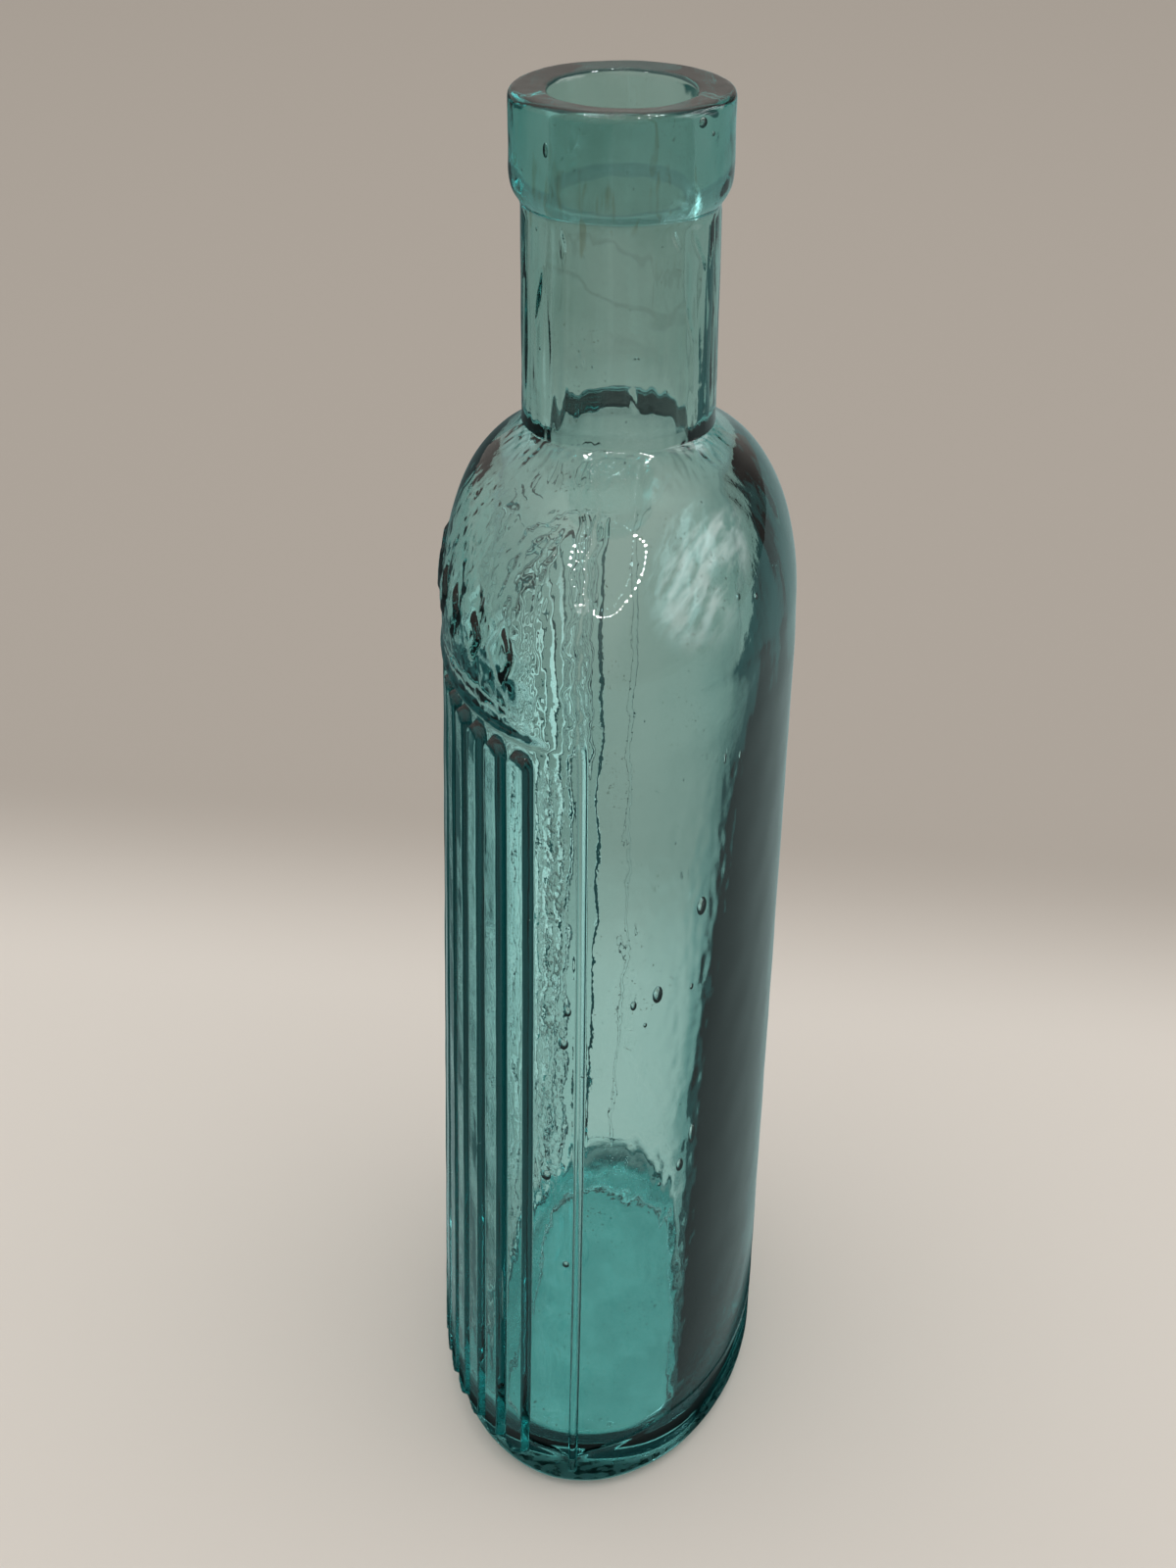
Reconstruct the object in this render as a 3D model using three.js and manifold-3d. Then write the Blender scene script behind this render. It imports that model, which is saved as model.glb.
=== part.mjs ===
// Aqua glass poison bottle: a mould-blown flat-oval body with a reeded front, and the band lip that was
// run on round the open end of its neck. Millimetres, +Z up. The origin lies on the table under the
// middle of the bottle, the oval's long axis runs along X and the reeded front faces -Y.

import * as THREE from 'three';
import { mergeVertices } from 'three/addons/utils/BufferGeometryUtils.js';
import Module from 'manifold-3d';

const wasm = await Module();
wasm.setup();

// Body: a straight oval wall on a rounded heel
const ovalLength = 72.8;
const ovalDepth = 44;
const wallHeight = 118;
const heelRadius = 2.2;

// Shoulder and neck: the oval draws in over a dome, which turns this far before it runs into a round
// neck, and the neck leans a little to the front
const shoulderRise = 21.5;
const shoulderFillet = 2.5;
const shoulderTurn = THREE.MathUtils.degToRad(67);
const neckRadius = 11.75;
const neckLength = 36.2;
const neckForward = 1.15;
const neckLean = THREE.MathUtils.degToRad(1.1);

// Thickness of the blown glass, and the round corner of the floor inside
const endWall = 3.2;
const faceWall = 4.4;
const shoulderWall = 3.4;
const floorThickness = 6.5;
const floorCorner = 5;
const neckWall = 3.15;

// Shallow panel under the base, which leaves a ring to stand on
const panelLength = 53;
const panelWidth = 25;
const panelCorner = 9;
const panelDepth = 1.2;

// The front is drawn in by the reeds' height from the base to a plain band under the shoulder, where a
// sloping ledge brings it out again
const plainBand = 5.6;
const ledgeHeight = 0.8;

// Upright reeds on that ground: bars with round ends, a flat crown and a rounded edge, which start over
// the heel and stop short of the ledge, and the plain strip from the mould line to the first of them
const reedCount = 18;
const reedWidth = 3;
const reedHeight = 1.2;
const reedEdge = 0.45;
const reedRoot = 0.6;
const reedFoot = 3.4;
const reedTopShort = 0.9;
const plainStrip = 8.6;

// Rib on the mould line at each end of the oval, which stops short of the shoulder
const ribRadius = 1.2;
const ribHeight = 0.7;
const ribFoot = 3;
const ribTopShort = 3.4;

// Bead on the upper ledge, which runs over the reeds' tops from rib to rib
const beadRadius = 0.9;
const beadHeight = 0.6;

// Applied lip: a band with a swelling foot, laid round and over the neck's end, which stands out from
// the neck and narrows its bore
const lipProud = 1.4;
const lipHeight = 12.5;
const lipOverNeck = 4;
const lipNarrowing = 0.25;
const lipTopRound = 0.9;
const lipMouthRound = 0.9;
const lipFootRound = 4.2;
const lipFootEdge = 0.3;
const lipGap = 0.3;

// Facets, and how far a cutting solid runs past the face that it opens
const ringSides = 64;
const heelSteps = 4;
const profileSteps = 4;
const lipRoundSteps = 2;
const reedEndSteps = 6;
const reedEdgeSteps = 2;
const rodSides = 16;
const rodCapSteps = 3;
const beadSteps = 48;
const panelCornerSteps = 4;
const overcut = 1;

const neckBoreRadius = neckRadius - neckWall;
const lipBoreRadius = neckBoreRadius - lipNarrowing;
const lipRadius = neckRadius + lipProud;
const groundTop = wallHeight - plainBand;
const neckFoot = new THREE.Vector3(0, -neckForward, wallHeight + shoulderRise);
const xAxis = new THREE.Vector3(1, 0, 0);
const zAxis = new THREE.Vector3(0, 0, 1);

// The drawn-in ground of the front, from the rib at -X to the rib at +X
const groundDepth = ovalDepth / 2 - reedHeight;
const ground = new THREE.EllipseCurve(0, 0, ovalLength / 2, groundDepth, Math.PI, 2 * Math.PI);

// The solid inside a closed geometry
function solidOf(geometry) {
  const bare = new THREE.BufferGeometry();
  bare.setAttribute('position', geometry.getAttribute('position'));
  bare.setIndex(geometry.getIndex());
  const merged = mergeVertices(bare);
  const index = merged.getIndex().array;
  const triVerts = [];
  for (let i = 0; i < index.length; i += 3) {
    const [a, b, c] = index.slice(i, i + 3);
    if (a !== b && b !== c && c !== a) {
      triVerts.push(a, b, c);
    }
  }
  return new wasm.Manifold(new wasm.Mesh({
    numProp: 3,
    vertProperties: new Float32Array(merged.getAttribute('position').array),
    triVerts: new Uint32Array(triVerts),
  }));
}

function geometryOf(solid) {
  const { vertProperties, triVerts } = solid.getMesh();
  const geometry = new THREE.BufferGeometry();
  geometry.setAttribute('position', new THREE.BufferAttribute(vertProperties, 3));
  geometry.setIndex(new THREE.BufferAttribute(triVerts, 1));
  geometry.computeVertexNormals();
  return geometry;
}

// Rings of equally many points, joined into a closed skin with a fan at each end
function loft(rings) {
  const sides = rings[0].length;
  const middles = [rings[0], rings.at(-1)].map((ring) => {
    const sum = ring.reduce((total, point) => total.add(point), new THREE.Vector3());
    return sum.divideScalar(sides);
  });
  const geometry = new THREE.BufferGeometry().setFromPoints([...rings.flat(), ...middles]);
  const bottomMiddle = rings.length * sides;
  const topMiddle = bottomMiddle + 1;
  const topRing = bottomMiddle - sides;
  const index = [];
  for (let side = 0; side < sides; side++) {
    const next = (side + 1) % sides;
    index.push(bottomMiddle, next, side);
    index.push(topMiddle, topRing + side, topRing + next);
    for (let low = 0; low < topRing; low += sides) {
      const high = low + sides;
      index.push(low + side, low + next, high + next);
      index.push(low + side, high + next, high + side);
    }
  }
  return geometry.setIndex(index);
}

// One ring of the bottle's skin: the oval where share is 1, the leaning neck's circle where it is 0.
// The front half of the oval can be drawn in.
function skinRing(height, share, halfLength, halfDepth, radius, drawnIn = 0) {
  const { lerp } = THREE.MathUtils;
  const ring = [];
  for (let side = 0; side < ringSides; side++) {
    const angle = (side / ringSides) * 2 * Math.PI;
    const depth = Math.sin(angle) < 0 ? halfDepth - drawnIn : halfDepth;
    const x = lerp(radius, halfLength, share) * Math.cos(angle);
    const y = lerp(radius, depth, share) * Math.sin(angle) + neckForward * share ** 2;
    const point = new THREE.Vector3(x, y, height - neckFoot.z);
    ring.push(point.applyAxisAngle(xAxis, neckLean * (1 - share)).add(neckFoot));
  }
  return ring;
}

// A skin from its floor up to the neck's open end: round corner, straight oval wall, dome and neck. The
// front may be drawn in from the floor up to the ledge.
function bottleSkin({ halfLength, halfDepth, radius, floor, corner, drawnIn, neckCorner, fillet, top }) {
  const rings = [];
  for (let step = 0; step <= heelSteps; step++) {
    const turn = (step / heelSteps) * Math.PI / 2;
    const inset = corner * (1 - Math.sin(turn));
    const height = floor + corner * (1 - Math.cos(turn));
    rings.push(skinRing(height, 1, halfLength - inset, halfDepth - inset, radius, drawnIn));
  }
  if (drawnIn > 0) {
    rings.push(skinRing(groundTop, 1, halfLength, halfDepth, radius, drawnIn));
    rings.push(skinRing(groundTop + ledgeHeight, 1, halfLength, halfDepth, radius));
  }
  const domeRise = (neckCorner - wallHeight) * Math.sin(shoulderTurn);
  const profile = new THREE.Path();
  profile.absellipse(0, wallHeight, 1, domeRise, 0, shoulderTurn);
  profile.quadraticCurveTo(0, neckCorner, 0, neckCorner + fillet);
  profile.lineTo(0, top);
  for (const { x: share, y: height } of profile.getPoints(profileSteps)) {
    rings.push(skinRing(height, share, halfLength, halfDepth, radius));
  }
  return solidOf(loft(rings));
}

// Axes on the ground at a distance from its start: X along it, Y up the bottle and Z outward
function groundAxes(distance) {
  const share = distance / ground.getLength();
  const place = ground.getPointAt(share);
  const tangent = ground.getTangentAt(share);
  const along = new THREE.Vector3(tangent.x, tangent.y, 0);
  const outward = new THREE.Vector3().crossVectors(along, zAxis);
  const axes = new THREE.Matrix4().makeBasis(along, zAxis, outward);
  return axes.setPosition(place.x, place.y, 0);
}

// The outline is smaller than the reed by the rounded edge, which grows it on all sides
function reeds() {
  const pitch = (ground.getLength() - 2 * plainStrip) / (reedCount - 1);
  const endRadius = reedWidth / 2 - reedEdge;
  const outline = new THREE.Shape();
  outline.absarc(0, groundTop - reedTopShort - reedWidth / 2, endRadius, 0, Math.PI);
  outline.absarc(0, reedFoot + reedWidth / 2, endRadius, Math.PI, 2 * Math.PI);
  const bar = new THREE.ExtrudeGeometry(outline, {
    depth: reedRoot + reedHeight - reedEdge,
    bevelSize: reedEdge,
    bevelThickness: reedEdge,
    bevelSegments: reedEdgeSteps,
    curveSegments: reedEndSteps,
  });
  bar.translate(0, 0, -reedRoot);
  const bars = [];
  for (let reed = 0; reed < reedCount; reed++) {
    bars.push(solidOf(bar.clone().applyMatrix4(groundAxes(plainStrip + reed * pitch))));
  }
  return bars;
}

// An upright rod with round ends at each end of the ground, let in so that its crest stands out
function endRibs() {
  const top = wallHeight - ribTopShort;
  const rod = new THREE.CapsuleGeometry(ribRadius, top - ribFoot - 2 * ribRadius, rodCapSteps, rodSides);
  rod.rotateY(Math.PI / 2);
  rod.translate(0, (ribFoot + top) / 2, ribHeight - ribRadius);
  return [0, ground.getLength()].map((distance) => solidOf(rod.clone().applyMatrix4(groundAxes(distance))));
}

// Line of the bead's middle, sunk under the oval's surface so that the bead stands out by its height
class BeadLine extends THREE.Curve {
  getPoint(share, target = new THREE.Vector3()) {
    const sunk = beadRadius - beadHeight;
    const angle = Math.PI * (1 + share);
    const x = (ovalLength / 2 - sunk) * Math.cos(angle);
    const y = (ovalDepth / 2 - sunk) * Math.sin(angle);
    return target.set(x, y, groundTop + ledgeHeight);
  }
}

function bead() {
  const section = new THREE.Shape().absarc(0, 0, beadRadius, 0, 2 * Math.PI);
  const options = { extrudePath: new BeadLine(), steps: beadSteps, curveSegments: rodSides / 4 };
  return solidOf(new THREE.ExtrudeGeometry(section, options));
}

// The panel's outline is a rectangle with round corners, cut up into the base
function basePanel() {
  const x = panelLength / 2 - panelCorner;
  const y = panelWidth / 2 - panelCorner;
  const outline = new THREE.Shape();
  outline.absarc(x, y, panelCorner, 0, Math.PI / 2);
  outline.absarc(-x, y, panelCorner, Math.PI / 2, Math.PI);
  outline.absarc(-x, -y, panelCorner, Math.PI, 1.5 * Math.PI);
  outline.absarc(x, -y, panelCorner, 1.5 * Math.PI, 2 * Math.PI);
  const panel = new THREE.ExtrudeGeometry(outline, {
    depth: panelDepth + overcut,
    bevelEnabled: false,
    curveSegments: panelCornerSteps,
  });
  return solidOf(panel.translate(0, 0, -overcut));
}

function blownBody() {
  const outside = bottleSkin({
    halfLength: ovalLength / 2,
    halfDepth: ovalDepth / 2,
    radius: neckRadius,
    floor: 0,
    corner: heelRadius,
    drawnIn: reedHeight,
    neckCorner: neckFoot.z,
    fillet: shoulderFillet,
    top: neckFoot.z + neckLength,
  });
  const cavity = bottleSkin({
    halfLength: ovalLength / 2 - endWall,
    halfDepth: ovalDepth / 2 - faceWall,
    radius: neckBoreRadius,
    floor: floorThickness,
    corner: floorCorner,
    drawnIn: 0,
    neckCorner: neckFoot.z - shoulderWall,
    fillet: shoulderFillet + shoulderWall,
    top: neckFoot.z + neckLength + overcut,
  });
  const raised = [...reeds(), ...endRibs(), bead()];
  const moulded = raised.reduce((glass, detail) => glass.add(detail), outside);
  return geometryOf(moulded.subtract(basePanel()).subtract(cavity));
}

// Half section of the lip, with its foot at zero height and a socket for the neck's end
function appliedLip() {
  const socketRadius = neckRadius + lipGap;
  const seat = lipHeight - lipOverNeck;
  const swellMiddle = lipRadius - lipFootRound;
  const swellStart = Math.acos((socketRadius + lipFootEdge - swellMiddle) / lipFootRound);
  const swellHeight = lipFootRound * Math.sin(swellStart);
  const mouthMiddle = lipBoreRadius + lipMouthRound;
  const topMiddle = lipRadius - lipTopRound;
  const section = new THREE.Path();
  section.moveTo(socketRadius, 0);
  section.lineTo(socketRadius + lipFootEdge, 0);
  section.absarc(swellMiddle, swellHeight, lipFootRound, -swellStart, 0);
  section.absarc(topMiddle, lipHeight - lipTopRound, lipTopRound, 0, Math.PI / 2);
  section.absarc(mouthMiddle, lipHeight - lipMouthRound, lipMouthRound, Math.PI / 2, Math.PI);
  section.lineTo(lipBoreRadius, seat);
  section.lineTo(socketRadius, seat);
  section.lineTo(socketRadius, 0);
  const ring = new THREE.LatheGeometry(section.getPoints(lipRoundSteps), ringSides);
  return geometryOf(solidOf(ring.rotateX(Math.PI / 2)));
}

const aquaGlass = new THREE.MeshStandardMaterial({ color: 0x5fa8a0, roughness: 0.06, metalness: 0 });

const body = new THREE.Mesh(blownBody(), aquaGlass);
body.name = 'blown_body';

const lip = new THREE.Mesh(appliedLip(), aquaGlass.clone());
lip.name = 'applied_lip';
lip.position.z = neckLength + lipGap + lipOverNeck - lipHeight;

const neckTop = new THREE.Group();
neckTop.position.copy(neckFoot);
neckTop.rotation.x = neckLean;
neckTop.add(lip);

const bottle = new THREE.Group();
bottle.add(body, neckTop);

export default bottle;
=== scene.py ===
"""Aqua glass poison bottle: one continuous body of blown glass with its applied lip. It has the CAD model's
outline, and the reeds, mould lines, waves and bubbles of a bottle blown in a mould."""

import itertools
import math

import bpy
import numpy as np
from mathutils import Matrix, Vector


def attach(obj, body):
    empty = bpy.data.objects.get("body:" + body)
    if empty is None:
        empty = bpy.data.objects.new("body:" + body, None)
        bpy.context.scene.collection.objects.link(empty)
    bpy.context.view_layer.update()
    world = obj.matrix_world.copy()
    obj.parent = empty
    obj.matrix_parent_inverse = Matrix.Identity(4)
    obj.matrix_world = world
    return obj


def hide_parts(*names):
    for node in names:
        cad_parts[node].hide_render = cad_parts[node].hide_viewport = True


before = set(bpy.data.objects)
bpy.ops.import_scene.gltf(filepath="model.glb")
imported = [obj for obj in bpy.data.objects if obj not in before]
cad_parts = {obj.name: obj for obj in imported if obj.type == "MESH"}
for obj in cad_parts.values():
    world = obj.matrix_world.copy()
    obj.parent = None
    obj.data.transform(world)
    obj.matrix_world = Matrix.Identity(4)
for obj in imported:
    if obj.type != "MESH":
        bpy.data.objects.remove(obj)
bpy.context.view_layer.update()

MM = 0.001

# Sizes that the CAD model has too, in millimetres, with the lip's heights over the neck's foot
HALF_LENGTH = 36.4
HALF_DEPTH = 22.0
WALL_HEIGHT = 118.0
HEEL_RADIUS = 2.2
SHOULDER_RISE = 21.5
SHOULDER_TURN = math.radians(67)
NECK_RADIUS = 11.75
NECK_FORWARD = 1.15
NECK_LEAN = math.radians(1.1)
NECK_FOOT = WALL_HEIGHT + SHOULDER_RISE
END_WALL = 3.2
BORE_RADIUS = 8.6
PANEL_HALF = (26.5, 12.5)
PANEL_CORNER = 9.0
PANEL_DEPTH = 1.2
GROUND_TOP = 112.4
LEDGE = 0.8
REED_COUNT = 18
REED_HEIGHT = 1.2
REED_FOOT = 3.4
REED_TOP = 111.5
RIB_FOOT = 3.0
RIB_TOP = 114.6
LIP_RADIUS = 13.15
LIP_BORE = 8.35
LIP_TOP = 40.5
LIP_FOOT = 28.0

# Sizes that differ from the CAD model's or that it lacks, fitted to the photograph, in millimetres
NECK_FILLET = 1.1
BORE_FILLET = 0.6
FRONT_WALL = 2.2
BACK_WALL_TOP = 3.6
BACK_WALL_FOOT = 6.5
SAG_FOOT = 20.0
SHOULDER_GATHER = 0.65
GATHER_RISE = (108.0, 128.0)
SHOULDER_WALL = 1.6
FACE_TURN = (math.radians(35), math.radians(85))
FLOOR_THICKNESS = 3.4
FLOOR_RISE = 5.5
BED_HALF = (24.0, 12.3)
BED_NEAR_CORNER = 7.5
BED_FAR_CORNER = 4.2
REED_CROWN = 1.25
REED_HALF = 1.85
REED_EDGE = 0.1
PLAIN_STRIP = 8.2
RIB_RADIUS = 0.6
RIB_PROUD = 0.54
FAR_RIB = 0.5
BEAD_RADIUS = 0.65
BEAD_HEIGHT = 0.35
BEAD_START = (3.5, 7.5)
LIP_BLEND = 1.6
LIP_EDGE = 1.3
LIP_DISH = 0.2
LIP_MOUTH = 1.1
LIP_SWELL = (12.5, LIP_FOOT + 0.5)
LIP_SIDE_FOOT = LIP_FOOT + 3.6
PANEL_SLOPE = 0.955
BODY_BEND = 0.4
MOULD_DRIFT = 1.05
MOULD_DRIFT_TOP = 110.0
MOULD_FOOT_DRIFT = 0.2

# Depths of the waves in the glass's surface, in millimetres
WHITTLED = 0.05
PEBBLED = 0.065
STRIP_GRAIN = 0.008
NECK_DRAWN = 0.05
NECK_FOLD_DRAWN = 0.1
UNEVEN_WALL = 0.16
UNEVEN_PATCH = 0.025
STREAKED = 0.010
RIPPLED = 0.008
BACK_RIPPLED = 0.026
RAGGED = 0.08
BORE_DRAWN = 0.03
BORE_FOLD_DRAWN = 0.06
LIP_WAVED = 0.07
LIP_DIMPLED = 0.03
LIP_SUNK = 0.09
BED_WAVED = 0.25
BED_DIMPLED = 0.05

# Row of plain lozenges over the reeds, in millimetres
LOZENGE_START = 10.5
LOZENGE_GAPS = 11
LOZENGE_HALF = (2.7, 3.9)
LOZENGE_LEVEL = 122.6
LOZENGE_PROUD = 0.45
LOZENGE_FLANK = 0.42

# Lines along the mould's seam on the shoulder, each with its place, wander and height in millimetres
SEAM_LINES = [(0.0, 0.25, 0.08), (1.3, 0.3, 0.05), (-0.5, 0.25, 0.05)]
SEAM_WIDTH = 0.26

# Groove where the mould's base plate joined its sides, in millimetres
JOINT_LEVEL = 6.2
JOINT_BACK_RISE = 2.6
JOINT_DEPTH = 0.12
JOINT_WIDTH = 0.3

# Spacing of the mesh's columns and rows, in millimetres
RIB_STEPS = np.array([0.0, 0.13, 0.26, 0.36, 0.44, 0.5, 0.55, 0.6, 0.66, 0.75, 0.9])
STRIP_STEP = 0.25
BACK_STEP = 0.42
REED_STEPS = np.array([0.0, 0.65, 1.1, 1.2, 1.28, 1.36, 1.55, 1.74, 1.82, 1.9, 2.02])
REED_FOOT_LEVEL = 10.0
REED_TOP_LEVEL = 106.0
REED_FOOT_STEP = 0.26
WALL_STEP = 0.8
REED_TOP_STEP = 0.33
NECK_STEP = 0.4
BORE_STEP = 0.9
CAVITY_STEP = 0.85

# Rows in the mesh's rounded stretches
HEEL_ROWS = 12
DOME_ROWS = 66
INNER_DOME_ROWS = 54
FILLET_ROWS = 12

# Bubbles that show, each with its angle round the bottle in degrees, height, width and length
BUBBLES = [
    (39.9, 89.0, 1.6, 2.6),
    (25.5, 78.7, 1.4, 2.5),
    (16.8, 78.0, 0.8, 1.4),
    (36.8, 78.0, 0.6, 0.9),
    (-5.1, 77.0, 1.0, 1.5),
    (-6.4, 72.4, 1.3, 1.8),
    (21.2, 74.5, 0.5, 0.7),
    (39.8, 54.8, 1.2, 3.2),
    (35.0, 51.2, 1.2, 1.9),
    (-13.0, 51.2, 1.4, 1.5),
    (-4.7, 38.1, 0.9, 1.0),
    (28.2, 49.4, 0.5, 0.6),
    (52.5, 107.4, 0.7, 1.2),
    (46.0, 108.4, 0.5, 1.5),
    (61.4, 126.0, 0.9, 0.9),
    (-37.8, 174.9, 0.7, 1.7),
    (52.0, 178.4, 1.2, 1.2),
    (61.4, 176.9, 0.5, 0.6),
    (-30.0, 28.0, 0.5, 9.0),
    (-150.0, 84.0, 0.9, 1.8),
    (140.0, 61.0, 1.1, 2.2),
    (104.0, 96.0, 0.8, 1.6),
    (172.0, 43.0, 0.7, 1.2),
]
BUBBLE_DEPTH = 1.3
BUBBLE_FLATNESS = 0.7

# Fine seed: how many bubbles, and the least and greatest height, size and depth in the wall
SEED_COUNT = 150
SEED_LEVELS = (9, 172)
SEED_SIZES = (0.15, 0.4)
SEED_DEPTHS = (0.6, 1.6)
SEED_SHAPE = np.array([0.6, 0.6, 1.2])

# Short cuts that the shaping tool left in the neck, each with the angle and height of its two ends
NECK_CREASES = [
    (-29.3, 166.3, -25.3, 163.5),
    (-18.2, 153.1, -15.1, 150.7),
    (12.0, 147.8, 15.6, 145.3),
    (33.6, 167.1, 41.1, 163.7),
    (44.9, 157.4, 52.9, 152.3),
    (48.6, 165.5, 61.9, 160.9),
    (-44.0, 161.0, -50.0, 154.0),
    (150.0, 158.0, 158.0, 150.0),
    (-120.0, 163.0, -112.0, 157.0),
]
CREASE_DEPTH = 0.3
CREASE_WIDTH = 0.2

# Colours of the glass's surface
CLEAR_TINTS = (0.97, 0.985, 0.98), (0.90, 0.94, 0.93)
NECK_TINTS = (0.79, 0.81, 0.79), (0.68, 0.73, 0.70)
LIP_TINTS = (0.68, 0.75, 0.73), (0.58, 0.67, 0.64)
STAIN_BROWN = (0.46, 0.36, 0.24)
SPECK_GREY = (0.30, 0.30, 0.26)
RESIDUE_GREY = (0.42, 0.42, 0.40)
PIT_GREY = (0.16, 0.15, 0.13)
ABSORBED = (0.0, 0.73, 0.74, 1)

# Colours of the floor, with painted light and shade: for the camera, as it glows through the glass, and as
# the glass mirrors it
# Paper: lit near the bottle, in painted shade far behind it
PAPER_LIT_AND_SHADED_TONES = (0.70, 0.665, 0.635), (0.41, 0.375, 0.345)
# Painted glow of the floor as the glass shows it, near and far
SEEN_GLOW_TONES = (0.66, 0.625, 0.56), (0.435, 0.398, 0.345)
POOLED_LIGHT = (1.08, 1.05, 0.97)
# Painted shadow: dark teal floor under the base's oval, as the glass shows it
SHADOW_UNDER_BASE = (0.010, 0.046, 0.046)
# Painted caustic light: mottled teal floor under the base's panel, as light through the glass would leave it
CAUSTIC_LIGHT_UNDER_PANEL = (0.066, 0.262, 0.238), (0.105, 0.335, 0.305)
# Painted shade: dark teal floor for rays that leaked through one wall or were reflected inside the glass
LEAK_SHADE_UNDER_BASE = (0.0045, 0.026, 0.027)
LEAK_SHADE_IN_OPEN = (0.02, 0.075, 0.073)
# Painted reflection of the floor, lit and in painted shade, and its painted shadow at the bottle's foot
PAINTED_REFLECTION_TONES = (0.28, 0.38, 0.37), (0.08, 0.12, 0.12)
PAINTED_REFLECTION_FOOT_SHADOW = (0.004, 0.025, 0.026)

# Parts of the floor, in metres: the middle and half sizes of each
BASE_OVAL = (0, 0), (HALF_LENGTH * MM, HALF_DEPTH * MM)
# Zone of the painted caustic light under the panel
PANEL_ZONE = (-0.0015, -0.0025), (0.034, 0.0195)
# Zone of painted shade behind, which only rays reflected inside the glass find
SHADED_ZONE_BEHIND = (-0.36, 0.15), (0.26, 0.11)
ONE_METRE = (0, 0), (1, 1)


class Noise:
    """Smooth seeded noise in space, about -1 to 1, with cells one unit wide."""

    def __init__(self, seed):
        rng = np.random.default_rng(seed)
        self.order = rng.permutation(256)
        slopes = rng.normal(size=(256, 3))
        self.slopes = slopes / np.linalg.norm(slopes, axis=1, keepdims=True)

    def __call__(self, points):
        cell = np.floor(points).astype(int)
        part = points - cell
        fade = part ** 3 * (part * (part * 6 - 15) + 10)
        total = 0.0
        for corner in itertools.product((0, 1), repeat=3):
            x, y, z = np.moveaxis(cell + corner, -1, 0)
            pick = self.order[(x + self.order[(y + self.order[z & 255]) & 255]) & 255]
            weight = np.where(corner, fade, 1 - fade).prod(axis=-1)
            total = total + weight * ((part - corner) * self.slopes[pick]).sum(axis=-1)
        return 1.6 * total


def waves(points, seed, cell):
    """Noise over points, with cells of this size in millimetres, given for all axes or for each."""
    return Noise(seed)(points / cell)


def lerp(a, b, share):
    return a + (b - a) * share


def smooth(low, high, value):
    """0 below low, 1 above high and an even rise between them."""
    share = np.clip((value - low) / (high - low), 0, 1)
    return share * share * (3 - 2 * share)


def between(low, high, edge, value):
    """1 from low to high, with soft edges outside them."""
    return smooth(low - edge, low, value) * (1 - smooth(high, high + edge, value))


def soft_positive(value, width):
    """The value where it is above zero, rounded over the given width where it meets zero."""
    rounded = 0.5 * (value + np.sqrt(value * value + width * width))
    return rounded - 0.5 * width * np.exp(-np.abs(value) / width)


def spaced(start, end, step):
    """Even steps from start, which is left out, to end."""
    count = max(1, round(abs(end - start) / step))
    return np.linspace(start, end, count + 1)[1:]


def half_oval(half_depth):
    """Angles from the near end to the far end of the oval, and the distances along it that they reach."""
    angle = np.linspace(0, math.pi, 20001)
    speed = np.hypot(HALF_LENGTH * np.sin(angle), half_depth * np.cos(angle))
    return angle, np.concatenate([[0], np.cumsum(0.5 * (speed[1:] + speed[:-1]) * np.diff(angle))])


# Columns run from the far end over the reeded front, the near end and the plain back. On the front each
# reed has the same columns.
ground_angle, ground_reach = half_oval(HALF_DEPTH - REED_HEIGHT)
back_angle, back_reach = half_oval(HALF_DEPTH)
GROUND_LENGTH = ground_reach[-1]
REED_PITCH = (GROUND_LENGTH - 2 * PLAIN_STRIP) / (REED_COUNT - 1)
REEDS = PLAIN_STRIP + REED_PITCH * np.arange(REED_COUNT)

strip = np.append(RIB_STEPS, spaced(RIB_STEPS[-1], PLAIN_STRIP - REED_PITCH / 2, STRIP_STEP))
reeded = (REEDS[:, None] + np.concatenate([-REED_STEPS[:0:-1], REED_STEPS, [REED_PITCH / 2]])).ravel()
front_arc = np.concatenate([strip, reeded[:-1], GROUND_LENGTH - strip[::-1]])
back_rib = RIB_STEPS[1:]
plain_back = spaced(back_rib[-1], back_reach[-1] - back_rib[-1], BACK_STEP)[:-1]
back_arc = np.concatenate([back_rib, plain_back, back_reach[-1] - back_rib[::-1]])
FRONT_ARC = np.concatenate([front_arc[::-1], -back_arc])
FRONT = FRONT_ARC >= 0
ANGLE = np.concatenate([
    -np.interp(front_arc, ground_reach, ground_angle)[::-1],
    np.interp(back_arc, back_reach, back_angle),
])
COS = np.cos(ANGLE)
SIN = np.sin(ANGLE)
TURN_FROM_END = np.abs(np.arcsin(SIN))
SPEED = np.hypot(HALF_LENGTH * SIN, HALF_DEPTH * COS)
FROM_END = np.where(
    FRONT,
    np.minimum(FRONT_ARC, GROUND_LENGTH - FRONT_ARC),
    np.minimum(-FRONT_ARC, back_reach[-1] + FRONT_ARC),
)


def run(height, share=1.0, radius=NECK_RADIUS, inset=0.0, front=0.0):
    """Rows of the mesh: each has its height, its share of oval against neck, its neck radius, its inset and
    how far its front is drawn in."""
    return np.stack(np.broadcast_arrays(height, share, radius, inset, front), axis=-1).astype(float)


def mould_drift(height):
    """How far the moulded lines wander to the front as they climb."""
    climb = np.clip(height / MOULD_DRIFT_TOP, 0, 1.1)
    drift = MOULD_DRIFT * climb ** 2 - MOULD_FOOT_DRIFT * smooth(0, 5, height)
    return drift * (1 - smooth(122, 142, height))


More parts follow.
